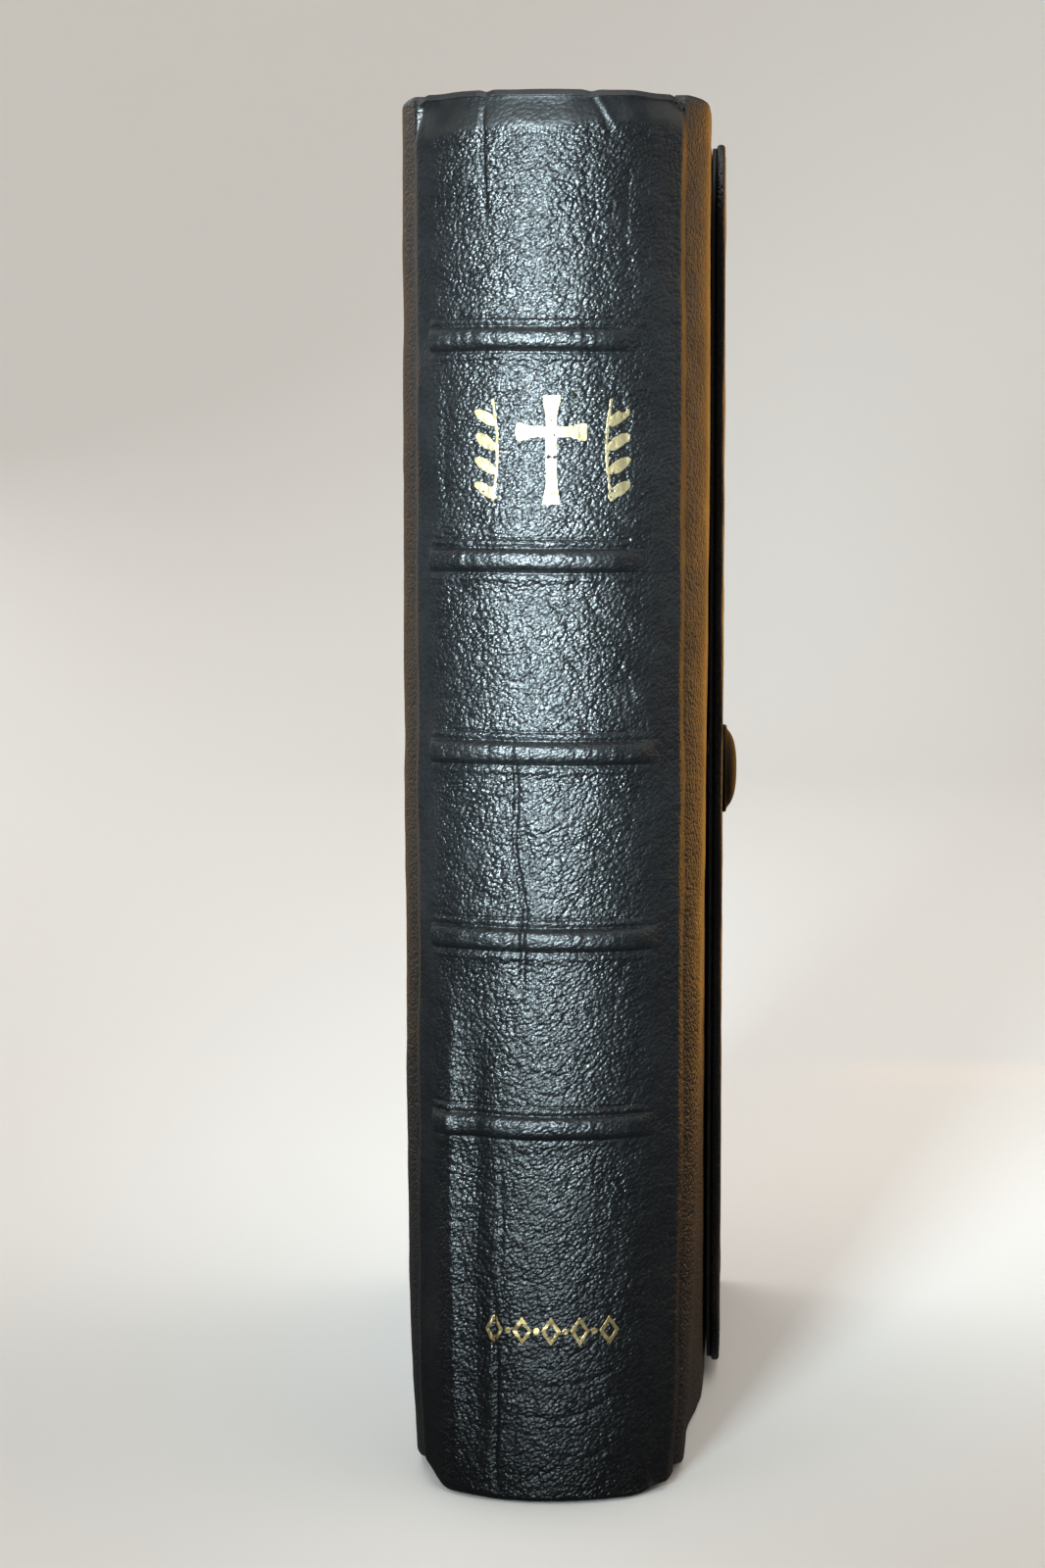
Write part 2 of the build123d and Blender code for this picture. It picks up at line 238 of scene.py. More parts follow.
def leather_material(name, dark, rough):
    """Grained leather, its pebbles drawn out in slanted rows. The attribute wear turns it browner
    and smoother, and calm flattens the grain."""
    material, tree, shader = new_material(name)
    place = object_place(tree)
    slant = node(tree, "ShaderNodeMapping", vector_type="TEXTURE", Vector=place,
                 Rotation=(0, radians(-28), 0), Scale=(1.25, 1, 0.85))
    bend = node(tree, "ShaderNodeTexNoise", Vector=place, Scale=900.0, Detail=2.0)
    shift = node(tree, "ShaderNodeVectorMath", operation="SCALE", Vector=bend.outputs["Color"],
                 Scale=0.00015)
    moved = node(tree, "ShaderNodeVectorMath", operation="ADD", Vector=slant.outputs[0])
    tree.links.new(shift.outputs[0], moved.inputs[1])
    moved = moved.outputs[0]
    wear, calm = (node(tree, "ShaderNodeAttribute", attribute_name=key).outputs["Fac"]
                  for key in ("wear", "calm"))

    cells = ramp(tree, voronoi(tree, moved, PEBBLES * 1.85, "F1"),
                 [(0.0, 1.0), (0.25, 0.88), (0.5, 0.5), (0.8, 0.0)])
    small = ramp(tree, voronoi(tree, moved, PEBBLES * 2.4), [(0.0, 0.0), (0.3, 1.0)])
    large = ramp(tree, voronoi(tree, moved, PEBBLES * 0.36), [(0.0, 0.0), (0.10, 0.8), (0.3, 1.0)])
    fine = noise(tree, place, 5200.0, 1.0)
    grain = sums(tree, "MULTIPLY", cells, 1.05)
    for part, share in ((small, 0.30), (fine, 0.12), (large, 0.45)):
        grain = sums(tree, "ADD", grain, sums(tree, "MULTIPLY", part, share))
    strength = sums(tree, "SUBTRACT", 1.0, sums(tree, "MULTIPLY", calm, 0.8))

    patch = ramp(tree, noise(tree, place, 60.0, 4.0), [(0.35, 0.0), (0.7, 1.0)])
    tone = mixed(tree, patch, dark, tuple(1.7 * c for c in dark))
    # Painted shade: the base colour is darkened in the creases between the pebbles.
    crease_shade = ramp(tree, cells, [(0.0, 1.0), (0.6, 0.0)])
    tone = mixed(tree, sums(tree, "MULTIPLY", crease_shade, 0.5), tone, tuple(0.4 * c for c in dark))
    base = ramp(tree, noise(tree, place, 250.0, 3.0), [(0.3, rough - 0.05), (0.7, rough + 0.06)])
    base = sums(tree, "ADD", base, sums(tree, "MULTIPLY", calm, 0.10))
    plug(tree, shader, {
        "Base Color": mixed(tree, wear, tone, WORN), "Normal": bump(tree, grain, 0.00008, strength),
        "Roughness": sums(tree, "SUBTRACT", base, sums(tree, "MULTIPLY", wear, 0.08))})
    return material


LEATHER = leather_material("black_leather", (0.0022, 0.0025, 0.0029), 0.36)
FLAP_LEATHER = leather_material("flap_leather", (0.0026, 0.0026, 0.0028), 0.35)
EVEN = (1, 1, 1)


def sheet_material(name, colour, second, rough, scale, depth, stretch=EVEN, strength=0.4,
                   metallic=0.0):
    """Paper, card, cloth or foil: two tones in a stretched noise, with a fine relief."""
    material, tree, shader = new_material(name)
    mapping = node(tree, "ShaderNodeMapping", Scale=stretch, Vector=object_place(tree))
    grain = noise(tree, mapping.outputs[0], scale, 4.0, 0.6)
    plug(tree, shader, {
        "Base Color": mixed(tree, ramp(tree, grain, [(0.35, 0.0), (0.65, 1.0)]), colour, second),
        "Roughness": ramp(tree, grain, [(0.3, max(rough - 0.07, 0.05)), (0.7, rough + 0.07)]),
        "Metallic": metallic, "Normal": bump(tree, grain, depth, strength)})
    return material


def woven_material(name, colour, second, pitch, rough):
    """Cloth woven from two sets of threads."""
    material, tree, shader = new_material(name)
    place = object_place(tree)
    waves = [node(tree, "ShaderNodeTexWave", bands_direction=direction, Vector=place,
                  Scale=0.31 / pitch, Distortion=0.6).outputs["Fac"]
             for direction in ("DIAGONAL", "Z")]
    weave = sums(tree, "MAXIMUM", *waves)
    plug(tree, shader, {"Base Color": mixed(tree, weave, colour, second), "Roughness": rough,
                        "Normal": bump(tree, weave, 0.00005, 0.6)})
    return material


def enamel_material():
    """Black enamel with fine scuffs."""
    material, tree, shader = new_material("black_enamel")
    scuffs = noise(tree, object_place(tree), 1400.0, 4.0, 0.65)
    plug(tree, shader, {
        "Base Color": mixed(tree, ramp(tree, scuffs, [(0.5, 0.0), (0.8, 1.0)]),
                            (0.003, 0.003, 0.0035), (0.012, 0.012, 0.013)),
        "Roughness": ramp(tree, scuffs, [(0.35, 0.42), (0.75, 0.56)]),
        "Normal": bump(tree, scuffs, 0.00001, 0.3), "Specular IOR Level": 0.07})
    return material


LINING = sheet_material("flap_lining", (0.012, 0.012, 0.013), (0.022, 0.021, 0.021), 0.6,
                        2600.0, 0.00003)
BOARD = sheet_material("board", (0.34, 0.27, 0.19), (0.25, 0.19, 0.13), 0.85, 1500.0, 0.00004)
CARD = sheet_material("card", (0.42, 0.34, 0.24), (0.33, 0.26, 0.18), 0.85, 1500.0, 0.00004)
PAPER = sheet_material("bible_paper", (0.83, 0.79, 0.69), (0.78, 0.73, 0.62), 0.75,
                       900.0, 0.00001, strength=0.2)
GILT_EDGE = sheet_material("gilt_edge", (0.80, 0.58, 0.26), (0.55, 0.37, 0.15), 0.38,
                           5000.0, 0.00004, (1, 0.02, 0.02), 0.6, 0.85)
ENDPAPER = sheet_material("endpaper", (0.016, 0.015, 0.015), (0.028, 0.026, 0.025), 0.7,
                          2200.0, 0.00002, (1, 1, 0.4))
FOIL = sheet_material("gilt", (0.60, 0.46, 0.23), (0.44, 0.30, 0.12), 0.42,
                      1500.0, 0.00006, EVEN, 0.8, 0.9)
# Painted shade: a darker, less saturated copy of the gilt for the title, toned down to offset the
# key light's highlight that falls on it.
FOIL_DIMMED_UNDER_KEY = sheet_material("gilt_dimmed_under_key", (0.42, 0.34, 0.19), (0.30, 0.225, 0.11), 0.42,
                           1500.0, 0.00006, EVEN, 0.8, 0.8)
SILK_A = sheet_material("silk_cream", (0.78, 0.70, 0.52), (0.66, 0.57, 0.40), 0.45,
                        3000.0, 0.00002, (1, 1, 0.1), 0.5)
SILK_B = sheet_material("silk_maroon", (0.20, 0.02, 0.025), (0.13, 0.012, 0.015), 0.45,
                        3000.0, 0.00002, (1, 1, 0.1), 0.5)
STUD_METAL = sheet_material("stud_metal", (0.62, 0.60, 0.56), (0.45, 0.43, 0.40), 0.30,
                            2500.0, 0.00001, EVEN, 0.3, 1.0)
LINEN = woven_material("linen", (0.62, 0.56, 0.44), (0.80, 0.75, 0.62), 0.0005, 0.85)
ENAMEL = enamel_material()


def dress_cad_nodes():
    """Materials for the CAD nodes that stay in view."""
    finishes = {"spine_stiffener": CARD, "spine_lining": LINEN, "sewing_tapes": LINEN,
                "front_pastedown": ENDPAPER, "back_pastedown": ENDPAPER, "snap_socket": STUD_METAL,
                "snap_post": STUD_METAL, "snap_post_rivet": STUD_METAL}
    finishes.update({f"raised_band_{n}": BOARD for n in range(1, 6)})
    for name, material in finishes.items():
        found = bpy.data.objects[name]
        for entry in found.material_slots:
            entry.material = material


# ---------------------------------------------------------------- meshes
def piece(name, points, faces, material, body, slot, smooth=True, **values):
    """A mesh piece from points in the book's own measures, riding on a body unless that is None.
    values are point attributes."""
    mesh = bpy.data.meshes.new(name)
    placed = np.asarray(points, float).reshape(-1, 3) * MM + np.array([BOOK_X, BOOK_Y, 0])
    mesh.from_pydata(placed.tolist(), [], faces)
    for key, value in values.items():
        layer = mesh.attributes.new(key, "FLOAT", "POINT")
        layer.data.foreach_set("value", np.asarray(value, np.float32).ravel())
    mesh.materials.append(material)
    mesh.validate()
    if smooth:
        mesh.polygons.foreach_set("use_smooth", [True] * len(mesh.polygons))
    made = place_object(name, mesh)
    if body:
        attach(made, body)
    return made


def loop_faces(columns, rows):
    """Quads of a sleeve, closed along its rows, and one face over each open end."""
    i, j = np.meshgrid(np.arange(columns - 1), np.arange(rows), indexing="ij")
    nxt = (j + 1) % rows
    quads = np.stack([i * rows + j, (i + 1) * rows + j, (i + 1) * rows + nxt, i * rows + nxt], -1)
    faces = quads.reshape(-1, 4).tolist()
    faces.append(list(range(rows)))
    faces.append([(columns - 1) * rows + k for k in reversed(range(rows))])
    return faces


def sleeve(path, low, high, thick, rows, cap=None):
    """A bent sheet as a closed sleeve. path is x, y and outward normal nx, ny for each column; low
    and high are each column's lower and upper edge; rows are heights of the outer face's rows, from
    0 to 1. cap is the thickness at the rolled upper and lower edges. Returns points, each point's
    outward direction, how far it is on the outer face, and the faces."""
    path = np.asarray(path, float)
    columns = len(path)
    low, high, thick = (np.broadcast_to(v, columns).astype(float) for v in (low, high, thick))
    cap = thick if cap is None else np.broadcast_to(cap, columns).astype(float)
    r = cap / 2
    turns = np.radians(np.linspace(80, -90, 9))
    inner = np.linspace(1, 0, max(4, int((high - low).max() / 6.0)))
    depth, height, out_n, out_z, face = [], [], [], [], []

    def add(*values):
        for stack, value in zip((depth, height, out_n, out_z, face), values):
            stack.append(value)

    for share in rows:
        add(0 * r, low + r + share * (high - low - 2 * r), 1, 0, 1)
    for t in turns:
        add(r - r * np.sin(t), high - r + r * np.cos(t), np.sin(t), np.cos(t), 0.5 if t > 0 else 0)
    for share in inner[1:-1]:
        add(thick, low + r + share * (high - low - 2 * r), -1, 0, 0)
    for t in turns[::-1]:
        add(r - r * np.sin(t), low + r - r * np.cos(t), np.sin(t), -np.cos(t), 0.5 if t > 0 else 0)
    depth, height = np.array(depth).T, np.array(height).T
    out_n, out_z = np.array(out_n, float), np.array(out_z, float)
    points = np.stack([path[:, None, 0] - path[:, None, 2] * depth,
                       path[:, None, 1] - path[:, None, 3] * depth, height], -1)
    normals = np.stack([path[:, None, 2] * out_n, path[:, None, 3] * out_n,
                        np.ones((columns, 1)) * out_z], -1)
    outer = np.ones((columns, 1)) * np.array(face, float)
    return points, normals, outer, loop_faces(columns, points.shape[1])


RIM_HEIGHT = 0.3      # of leather turned in over a slab's back


def slab(y0, y1, z0, z1, face, back, corner0, corner1, edge, edge0=None, step=0.5,
         turn=None, turn0=None, shape=None):
    """A flat slab seen from its outer face at x = face, with its back at x = back. y0 to y1 and z0
    to z1 are its outline, corner0 and corner1 the corner radii at y0 and y1, and edge the rounding
    of its outer edges (edge0 at y0). turn is the width of the rim turned in on the back (turn0 at
    y0). shape gives how far the outer face stands out at each y and z. Returns points, outward
    directions, how far each point is on the outer face, and the faces."""
    edge0 = edge if edge0 is None else edge0
    side = 1 if face > back else -1
    big, small = max(corner1, edge + 0.3), max(corner0, edge0 + 0.3)
    ya, yb, za, zb = y0 + edge0, y1 - edge, z0 + edge, z1 - edge
    ra, rb = small - edge0, big - edge
    most = max(ra, rb)
    near = most * (1 - np.cos(np.linspace(0, pi / 2, 16)[:-1]))
    plain = np.arange(za + most, zb - most, step)
    heights = np.concatenate([za + near, plain, [zb - most] if zb - most > plain[-1] + 0.1 else [],
                              (zb - near)[::-1]])
    rim = np.minimum(heights - za, zb - heights)
    start = ya + ra - np.sqrt(np.maximum(ra**2 - np.maximum(ra - rim, 0) ** 2, 0))
    stop = yb - rb + np.sqrt(np.maximum(rb**2 - np.maximum(rb - rim, 0) ** 2, 0))
    count = int((yb - ya) / step) + 1
    share = np.linspace(0, 1, count)
    grid_y = start[None] + share[:, None] * (stop - start)[None]
    grid_z = np.broadcast_to(heights, grid_y.shape)
    columns, rows = grid_y.shape
    points = np.stack([np.full(grid_y.shape, face), grid_y, grid_z], -1).reshape(-1, 3)
    normals = np.tile((side, 0.0, 0.0), (len(points), 1))
    i, j = np.meshgrid(np.arange(columns - 1), np.arange(rows - 1), indexing="ij")
    first, second = i * rows + j, (i + 1) * rows + j
    faces = np.stack([first, second, second + 1, first + 1], -1).reshape(-1, 4).tolist()
    ring = ([c * rows for c in range(columns)]
            + [(columns - 1) * rows + k for k in range(1, rows)]
            + [c * rows + rows - 1 for c in reversed(range(columns - 1))]
            + [k for k in reversed(range(1, rows - 1))])
    flat = points[ring][:, 1:]
    along = np.roll(flat, -2, 0) - np.roll(flat, 2, 0)
    away = np.stack([along[:, 1], -along[:, 0]], -1)
    away /= np.maximum(np.linalg.norm(away, axis=1, keepdims=True), 1e-9)
    size = edge + (edge0 - edge) * np.clip(-away[:, 0], 0, 1) ** 2
    depth = abs(face - back)
    back_edge = min(0.35, depth / 3)
    rings = [(size * (1 - np.cos(a)), size * np.sin(a), np.cos(a), np.sin(a))
             for a in np.radians([15, 30, 45, 60, 75, 90])]
    rings += [(depth - back_edge * (1 - np.sin(a)), size - back_edge * (1 - np.cos(a)),
               -np.sin(a), np.cos(a)) for a in np.radians([0, 30, 60, 90])]
    around = len(ring)
    loops = [(face - side * np.broadcast_to(down, around),
              flat + away * np.broadcast_to(out, around)[:, None],
              np.column_stack([np.full(around, side * n_x), away * n_out]), max(0.0, n_x))
             for down, out, n_x, n_out in rings]
    if turn is not None:
        turn0 = turn if turn0 is None else turn0
        inside = np.column_stack([np.clip(flat[:, 0], y0 + turn0, y1 - turn),
                                  np.clip(flat[:, 1], z0 + turn, z1 - turn)])
        loops += [(np.full(around, back + side * down), inside,
                   np.tile((-side, 0.0, 0.0), (around, 1)), 0.0) for down in (0.0, RIM_HEIGHT)]
    last, outer = ring, [np.ones(len(points))]
    for level, spots, directions, on_face in loops:
        now = list(range(len(points), len(points) + around))
        points = np.concatenate([points, np.column_stack([level, spots])])
        normals = np.concatenate([normals, directions])
        outer.append(np.full(around, on_face))
        faces += [[last[k], now[k], now[(k + 1) % around], last[(k + 1) % around]]
                  for k in range(around)]
        last = now
    faces.append(last[::-1])
    if side < 0:
        faces = [f[::-1] for f in faces]
    if shape is not None:
        toward_face = (points[:, 0] - back) / (face - back)
        points[:, 0] += side * toward_face * shape(points[:, 1], points[:, 2])
    return points, normals, np.concatenate(outer), faces


# ---------------------------------------------------------------- the leather skin
SPINE_RADIUS = (13.0**2 + 6.0**2) / (2 * 6.0)
JOINT_START, SKIN_END = 13.35, 14.55      # lengths from the crest: the two leathers lap between
COVER_FACE, COVER_BACK = 15.0, 12.1
COVER_Y0, COVER_Y1 = 7.8, 96.0


def spine_path(s):
    """The skin's outer line by its length s from the crest: x, y, nx, ny."""
    s = np.asarray(s, float)
    a = s / SPINE_RADIUS
    x, y = np.sin(a), -np.cos(a)
    return np.stack([SPINE_RADIUS * x, SPINE_RADIUS * (1 + y), x, y], -1)


def crease(s, z, line, width, depth):
    """A fold along a line of s, z, s, z and so on; it dies out at both ends."""
    line = [(float(a), float(b)) for a, b in zip(line[::2], line[1::2])]
    best, place = np.full(np.shape(s), 9.0), np.zeros(np.shape(s))
    lengths = [np.hypot(b[0] - a[0], b[1] - a[1]) for a, b in zip(line, line[1:])]
    done, total = 0.0, sum(lengths)
    for (a, b), length in zip(zip(line, line[1:]), lengths):
        t = np.clip(((s - a[0]) * (b[0] - a[0]) + (z - a[1]) * (b[1] - a[1])) / length**2, 0, 1)
        d = np.hypot(s - a[0] - t * (b[0] - a[0]), z - a[1] - t * (b[1] - a[1]))
        place = np.where(d < best, (done + t * length) / total, place)
        best = np.minimum(best, d)
        done += length
    return depth * np.exp(-((best / width) ** 2)) * np.clip(4 * place * (1 - place) * 1.6, 0, 1)


# Folds and cracks in the spine: a line as s, z, s, z and so on, width, depth (below 0 a furrow).
SPINE_CREASES = [
    ((-6.5, 138.5, -6.4, 133, -6.2, 130, -5.9, 127), 0.19, -0.42),
    ((4.4, 139.8, 5.6, 137.6, 7, 134.9), 0.30, -0.12),
    ((5, 139.6, 6.2, 137.4, 7.4, 135.3), 0.30, 0.12),
    ((-9.5, 121.5, -7, 122.4, -4.2, 124.6, -2, 125.4), 0.18, -0.14),
    ((-4.6, 131, -2, 132.6, 1, 132.4, 3.4, 130.4), 0.16, -0.13),
    ((-5, 126.4, -2.6, 127.9, 0.6, 127.6), 0.15, -0.11),
    ((-1, 92, 1.4, 89.5, 3, 86.5), 0.22, -0.16),
    ((3.6, 91.5, 5.2, 89, 7.4, 87.6), 0.22, -0.15),
    ((-3.5, 88.5, -2, 85.8, -1.6, 82), 0.22, -0.14),
    ((1, 86, 3.4, 83.4, 4.2, 80.5), 0.20, -0.13),
    ((6, 85.4, 8.2, 83.2, 9, 80), 0.22, -0.13),
    ((-3.4, 78, -2.8, 72, -3.2, 66, -2, 60, -2.4, 50), 0.21, -0.40),
    ((-2.6, 69, -1.4, 65.5, -1.2, 63), 0.18, -0.16),
    ((-2.4, 60, -3.2, 57, -3.6, 54), 0.18, -0.14),
    ((-5.3, 22, -5, 12, -5.2, 4, -4.8, 0.2), 0.21, -0.42),
    ((-4.6, 36, -4.4, 28, -4.5, 20), 0.18, -0.16),
    ((-10.1, 53, -10.2, 36, -10, 20, -9.8, 1), 0.80, 0.46),
    ((-7.4, 52, -7.2, 34, -7.3, 18, -7, 1), 1.40, -0.34),
    ((-10.6, 112, -10.9, 104, -10.5, 98), 0.50, -0.10),
    ((7.6, 112, 8.2, 106, 8, 100), 0.40, -0.08),
    ((8.4, 133, 8, 126, 8.8, 120), 0.35, -0.09),
    ((-2, 12.5, 1.5, 11.8, 5, 12.6, 8, 14), 0.20, -0.13),
    ((-3, 9.4, 0.5, 8.6, 4, 9.2, 7.6, 11.2), 0.20, -0.13),
    ((0.5, 5.2, 4, 4.4, 8.2, 6.6), 0.22, -0.12),
    ((-2.6, 2.6, 1.5, 3.6, 5.5, 2.8), 0.22, -0.12),
]
SHALLOW_BAND = 0
BAND_ENDS = (12.6, 12.6, 12.4, 10.6, 10.0)      # where each band's right end dies out


def band_relief(s, z):
    """The raised bands with their tooled lines, and how far each point is on one (0 to 1)."""
    total, on_band = np.zeros(np.shape(s)), np.zeros(np.shape(s))
    drift = 0.10 * wave(spread(s, z * 0.1), 6.0, 31)
    wrinkle = wave(spread(s, z * 0.12, 5), 0.55, 32)
    for number, middle in enumerate(BANDS):
        soft = number == SHALLOW_BAND
        dz = 0.87 * (z - middle + drift)
        right_end = BAND_ENDS[number]
        fade = ease(s, -13.0, -12.0) * ease(-s, -right_end, 4.4 - right_end)
        lines = ease(s, -12.6, -12.0) * ease(-s, -12.2, -8.5)
        ridge = np.clip(1 - np.abs((dz - 0.03) / 0.98) ** 3, 0, 1) ** 0.65
        shape = 0.26 * hump(dz, 0, 1.6) + (0.50 if soft else 0.68) * ridge * (1 + 0.12 * wrinkle)
        shape = shape - 0.13 * hump(dz, 1.02, 0.17) + 0.10 * hump(dz, 1.50, 0.19)
        shape = shape - 0.15 * hump(dz, -1.06, 0.14) * (0.4 if soft else 1)
        shape = shape + 0.09 * hump(dz, -1.58, 0.22) * (0.3 if soft else 1)
        shape = shape - 0.12 * hump(dz, 1.84, 0.085) * lines
        total = total + fade * shape
        on_band = np.maximum(on_band, fade * np.exp(-((dz / 1.5) ** 4)))
    return total, on_band


def spine_relief(s, z):
    """Outward relief of the spine's leather, and the shares that are calm and worn."""
    s, z = np.asarray(s, float), np.asarray(z, float)
    flat = spread(s, z)
    total, on_band = band_relief(s, z)
    for line, width, depth in SPINE_CREASES:
        total = total + crease(s, z, line, width, depth)
    left = ease(-s, 11.2, 13.2)
    right = ease(s, 8.5, 12.5)
    cap_edge = 136.2 + 0.35 * wave(flat * (1, 0, 1), 3.0, 17) + 0.05 * s
    head = ease(z, cap_edge - 0.5, cap_edge + 0.4)
    calm = np.clip(0.45 * on_band + 0.75 * left + 0.45 * right + 0.9 * head, 0, 1)
    rough = 1 - 0.85 * calm
    bent = flat + 0.5 * spread(wave(flat, 1.7, 18), wave(flat, 1.7, 19))
    total = total + 0.036 * (pebbles(bent, 0.8, 11) - 0.6) * rough
    total = total + 0.080 * (pebbles(bent * (0.72, 1.25, 1), 2.3, 10) - 0.8) * rough
    total = total + 0.05 * wave(flat * (1, 0.6, 1), 2.2, 12) + 0.10 * wave(flat, 9.0, 13)
    folds = wave(bent * (0.4, 1.3, 1), 1.2, 14)
    total = total + 0.07 * np.clip(folds - 0.15, 0, 1) * rough
    total = total - 0.85 * ease(z, cap_edge - 0.4, cap_edge + 3.8)
    wear = 0.15 * np.clip(wave(flat * (1, 0.5, 1), 3.0, 15), 0, 1) * (0.3 + left)
    wear = wear + 0.25 * head * np.clip(0.3 + wave(flat, 1.6, 16), 0, 1)
    scuff = hump(s, 12.3, 0.45) * hump(z, 0.9, 0.4) * (s > 0)
    return total, calm, np.clip(wear + 1.5 * scuff, 0, 1)


def tail_pinch(z, s):
    """How far the shoulders draw in toward the middle near the tail."""
    front = -0.15 * ease(-z, -36.0, -14.0) - 0.75 * ease(-z, -16.0, 1.0) ** 1.3
    back = -0.55 * ease(-z, -14.0, 0.0)
    return front * ease(s, 8.0, 13.6) - back * ease(-s, 9.0, 14.0)


def band_rows(low, high):
    """Heights for the rows of the outer face, close together across the bands."""
    z, rows = low, [low]
    while z < high:
        gap = min(abs(z - middle) for middle in BANDS)
        z += 0.09 if gap < 2.45 else 0.155 if gap < 2.8 else 0.26
        rows.append(min(z, high))
    rows = np.array(rows)
    return (rows - rows[0]) / (rows[-1] - rows[0])


def head_line(s):
    """How far the leather's edge stands below the head, and above the tail."""
    s = np.asarray(s, float)
    flat = spread(s, 0 * s)
    head = 0.10 + 0.12 * (1 + wave(flat, 3.0, 41)) + 0.5 * ease(np.abs(s), 13.6, 15.4)
    head = head + 0.18 * hump(s, 4.6, 0.6) + 0.20 * hump(s, -6.2, 0.5) + 0.5 * hump(s, 15.4, 0.5)
    tail = 0.08 + 0.06 * (1 + wave(flat, 3.5, 42)) + 0.6 * ease(s, 10.5, 14.5)
    return head, tail + 2.4 * ease(-s, 11.0, 15.6) ** 1.4


def make_skin(name, body, path, s, thick, rows, cap):
    """A sleeve of the spine's leather along a path whose columns have lengths s from the crest."""
    head, tail = head_line(s)
    points, normals, outer, faces = sleeve(path, tail, HEIGHT - head, thick, rows, cap)
    along = np.broadcast_to(s[:, None], outer.shape)
    relief, calm, wear = spine_relief(along, points[..., 2])
    points = points + normals * (relief * outer)[..., None]
    points[..., 0] += tail_pinch(points[..., 2], along)
    return piece(name, points, faces, LEATHER, body, "black_leather", calm=calm, wear=wear)


def make_spine_skin():
    s = np.linspace(-SKIN_END, SKIN_END, 133)
    made = make_skin("spine_skin", "spine", spine_path(s), s, 0.9,
                     band_rows(0.7, HEIGHT - 0.7), 1.3)
    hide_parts("spine_leather")


JOINT_COLUMNS = 26


def joint_path(side):
    """The leather from the spine's shoulder into the groove beside the cover: x, y, nx, ny."""
    a = np.linspace(JOINT_START / SPINE_RADIUS, radians(49.57), 12)
    line = [(SPINE_RADIUS * sin(t), SPINE_RADIUS * (1 - cos(t))) for t in a]
    line += [(13.12, 6.35), (13.21, 6.75), (13.27, 7.1), (13.33, 7.5), (13.40, 7.9), (13.46, 8.4)]
    line = np.array(line)
    steps = np.concatenate([[0], np.cumsum(np.linalg.norm(np.diff(line, axis=0), axis=1))])
    fine = np.linspace(0, steps[-1], JOINT_COLUMNS)
    line = np.column_stack([np.interp(fine, steps, line[:, k]) for k in (0, 1)])
    along = np.gradient(line, axis=0)
    along /= np.linalg.norm(along, axis=1, keepdims=True)
    path = np.column_stack([line, along[:, 1], -along[:, 0]])
    if side < 0:
        path = (path * (-1, 1, -1, 1))[::-1]
    s = JOINT_START + fine
    return path, s if side > 0 else -s[::-1]


def lapped(path, lap):
    """A path moved outward by lap at each column."""
    return np.column_stack([path[:, :2] + path[:, 2:] * lap[:, None], path[:, 2:]])


def make_joint_skin(side, name):
    """The strip of leather at the joint, where the book bends when a cover opens; it is built as a
    fixed mesh that rides on no body.
    """
    path, s = joint_path(side)
    lap = np.minimum(np.arange(JOINT_COLUMNS), 6) / 6.0
    lap = (lap if side > 0 else lap[::-1]) * 0.07 - 0.045
    made = make_skin(name, None, lapped(path, lap), s, 0.6, np.linspace(0, 1, 460), 1.2)
    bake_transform(made)


SHOULDER_WIDTH, SHOULDER_DEPTH = 1.7, 7.0


def cover_shape(side):
    """How far a cover's outer face stands out from its plane: the rounded shoulder beside the
    joint, a soft swell behind it, and the tail corner that is worn in."""
    radius = (SHOULDER_WIDTH**2 + SHOULDER_DEPTH**2) / (2 * SHOULDER_WIDTH)

    def shape(y, z):
        rest = np.clip(SHOULDER_DEPTH - (y - COVER_Y0), 0, SHOULDER_DEPTH)
        drop = radius - np.sqrt(radius**2 - rest**2)
        heights = (0, 3, 9, 18, 32, 70, 100, 140)
        swell = (-1.5, -1.3, -0.85, -0.5, -0.15, 0.35, 0.6, 0.6) if side > 0 else (
            -1.0, -0.8, -0.4, -0.1, 0.1, 0.3, 0.3, 0.3)
        swell = np.interp(z, heights, swell)
        pinch = side * tail_pinch(z, np.full(np.shape(z), side * 15.0))
        near = ease(y, 8.0, 14.5)
        return (pinch * (1 - near) + swell * near) * ease(-y, -43.0, -22.0) - drop
    return shape


def cover_relief(points, side):
    """Soft unevenness of a cover's leather, with its calm and worn shares."""
    y, z = points[:, 1], points[:, 2]
    flat = spread(y, z, 7 * side)
    rim = np.minimum(np.minimum(z, HEIGHT - z), np.minimum(COVER_Y1 - y, y - COVER_Y0))
    relief = (0.04 * wave(flat, 2.6, 21 + side) + 0.07 * wave(flat, 7.0, 23 + side)
              + 0.015 * wave(flat, 1.5, 26))
    calm = np.clip(0.5 * ease(-rim, -1.2, -0.2), 0, 1)
    wear = 0.6 * ease(-rim, -1.1, 0.1) * np.clip(0.55 + 0.6 * wave(flat, 3.0, 27), 0, 1)
    wear = wear + 0.15 * np.clip(wave(flat, 6.0, 28), 0, 1)
    return relief, calm, np.clip(wear, 0, 1)


